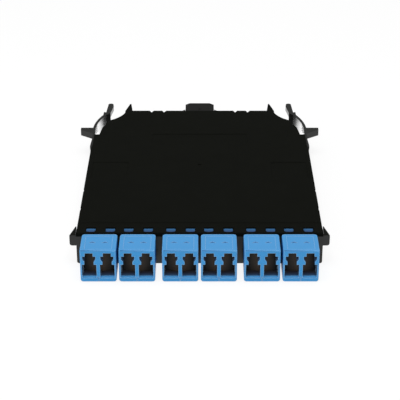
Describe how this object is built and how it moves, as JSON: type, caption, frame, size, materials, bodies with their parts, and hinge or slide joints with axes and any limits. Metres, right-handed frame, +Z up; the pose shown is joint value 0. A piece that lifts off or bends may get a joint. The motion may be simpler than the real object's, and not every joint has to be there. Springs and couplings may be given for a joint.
{
  "type": "fibre cassette",
  "caption": "Slim patching cassette: a black tray and cover, blue duplex adapters in front, a multi-fibre adapter behind and two squeeze latch arms.",
  "frame": {"origin": "middle of the bounding box, on the plane of the case's underside", "axes": "+X to the right seen from the front, +Y from the front adapters to the rear port, +Z up out of the cover"},
  "size_m": [0.0988, 0.1346, 0.0124],
  "materials": {
    "case_plastic": "fine moulded texture",
    "adapter_plastic": "smooth moulded",
    "shutter_plastic": "smooth moulded",
    "zirconia": "polished ceramic",
    "plug_plastic": "smooth moulded",
    "boot_plastic": "soft moulded",
    "fibre_jacket": "extruded",
    "ribbon_jacket": "extruded",
    "rear_plastic": "fine moulded texture",
    "ferrule_resin": "ground",
    "pin_steel": "ground"
  },
  "bodies": {
    "case": {"base_tray": "case_plastic", "top_cover": "case_plastic", "adapter_1": "adapter_plastic", "adapter_2": "adapter_plastic", "adapter_3": "adapter_plastic", "adapter_4": "adapter_plastic", "adapter_5": "adapter_plastic", "adapter_6": "adapter_plastic", "split_sleeve_1": "zirconia", "split_sleeve_2": "zirconia", "split_sleeve_3": "zirconia", "split_sleeve_4": "zirconia", "split_sleeve_5": "zirconia", "split_sleeve_6": "zirconia", "split_sleeve_7": "zirconia", "split_sleeve_8": "zirconia", "split_sleeve_9": "zirconia", "split_sleeve_10": "zirconia", "split_sleeve_11": "zirconia", "split_sleeve_12": "zirconia", "inner_plug_1": "plug_plastic", "inner_plug_2": "plug_plastic", "inner_plug_3": "plug_plastic", "inner_plug_4": "plug_plastic", "inner_plug_5": "plug_plastic", "inner_plug_6": "plug_plastic", "inner_plug_7": "plug_plastic", "inner_plug_8": "plug_plastic", "inner_plug_9": "plug_plastic", "inner_plug_10": "plug_plastic", "inner_plug_11": "plug_plastic", "inner_plug_12": "plug_plastic", "ferrules": "zirconia", "plug_boots": "boot_plastic", "pigtail_fibres": "fibre_jacket", "fanout_block": "rear_plastic", "fibre_ribbon": "ribbon_jacket", "mpo_adapter": "rear_plastic", "mpo_plug": "plug_plastic", "mpo_ferrule": "ferrule_resin", "guide_pins": "pin_steel", "mpo_boot": "rear_plastic"},
    "left_arm": {"latch_arm_left": "case_plastic"},
    "right_arm": {"latch_arm_right": "case_plastic"},
    "flap_1": {"shutter_1": "shutter_plastic"},
    "flap_2": {"shutter_2": "shutter_plastic"},
    "flap_3": {"shutter_3": "shutter_plastic"},
    "flap_4": {"shutter_4": "shutter_plastic"},
    "flap_5": {"shutter_5": "shutter_plastic"},
    "flap_6": {"shutter_6": "shutter_plastic"},
    "flap_7": {"shutter_7": "shutter_plastic"},
    "flap_8": {"shutter_8": "shutter_plastic"},
    "flap_9": {"shutter_9": "shutter_plastic"},
    "flap_10": {"shutter_10": "shutter_plastic"},
    "flap_11": {"shutter_11": "shutter_plastic"},
    "flap_12": {"shutter_12": "shutter_plastic"}
  },
  "joints": [
    {"name": "left_arm_squeeze", "type": "hinge", "parent": "case", "child": "left_arm", "pos_m": [-0.0419, 0.01935, 0.006], "axis": [0, 0, -1], "range_deg": [0, 6.5], "stiffness_Nm_per_rad": 0.05},
    {"name": "right_arm_squeeze", "type": "hinge", "parent": "case", "child": "right_arm", "pos_m": [0.0419, 0.01935, 0.006], "axis": [0, 0, 1], "range_deg": [0, 6.5], "stiffness_Nm_per_rad": 0.05},
    {"name": "flap_1_swing", "type": "hinge", "parent": "case", "child": "flap_1", "pos_m": [-0.03562, -0.06345, 0.0065], "axis": [0, 0, -1], "range_deg": [0, 82], "stiffness_Nm_per_rad": 0.0004},
    {"name": "flap_2_swing", "type": "hinge", "parent": "case", "child": "flap_2", "pos_m": [-0.03447, -0.06345, 0.0065], "axis": [0, 0, 1], "range_deg": [0, 82], "stiffness_Nm_per_rad": 0.0004},
    {"name": "flap_3_swing", "type": "hinge", "parent": "case", "child": "flap_3", "pos_m": [-0.02223, -0.06345, 0.0065], "axis": [0, 0, -1], "range_deg": [0, 82], "stiffness_Nm_per_rad": 0.0004},
    {"name": "flap_4_swing", "type": "hinge", "parent": "case", "child": "flap_4", "pos_m": [-0.02107, -0.06345, 0.0065], "axis": [0, 0, 1], "range_deg": [0, 82], "stiffness_Nm_per_rad": 0.0004},
    {"name": "flap_5_swing", "type": "hinge", "parent": "case", "child": "flap_5", "pos_m": [-0.00728, -0.06345, 0.0065], "axis": [0, 0, -1], "range_deg": [0, 82], "stiffness_Nm_per_rad": 0.0004},
    {"name": "flap_6_swing", "type": "hinge", "parent": "case", "child": "flap_6", "pos_m": [-0.00613, -0.06345, 0.0065], "axis": [0, 0, 1], "range_deg": [0, 82], "stiffness_Nm_per_rad": 0.0004},
    {"name": "flap_7_swing", "type": "hinge", "parent": "case", "child": "flap_7", "pos_m": [0.00613, -0.06345, 0.0065], "axis": [0, 0, -1], "range_deg": [0, 82], "stiffness_Nm_per_rad": 0.0004},
    {"name": "flap_8_swing", "type": "hinge", "parent": "case", "child": "flap_8", "pos_m": [0.00728, -0.06345, 0.0065], "axis": [0, 0, 1], "range_deg": [0, 82], "stiffness_Nm_per_rad": 0.0004},
    {"name": "flap_9_swing", "type": "hinge", "parent": "case", "child": "flap_9", "pos_m": [0.02107, -0.06345, 0.0065], "axis": [0, 0, -1], "range_deg": [0, 82], "stiffness_Nm_per_rad": 0.0004},
    {"name": "flap_10_swing", "type": "hinge", "parent": "case", "child": "flap_10", "pos_m": [0.02223, -0.06345, 0.0065], "axis": [0, 0, 1], "range_deg": [0, 82], "stiffness_Nm_per_rad": 0.0004},
    {"name": "flap_11_swing", "type": "hinge", "parent": "case", "child": "flap_11", "pos_m": [0.03447, -0.06345, 0.0065], "axis": [0, 0, -1], "range_deg": [0, 82], "stiffness_Nm_per_rad": 0.0004},
    {"name": "flap_12_swing", "type": "hinge", "parent": "case", "child": "flap_12", "pos_m": [0.03562, -0.06345, 0.0065], "axis": [0, 0, 1], "range_deg": [0, 82], "stiffness_Nm_per_rad": 0.0004}
  ]
}
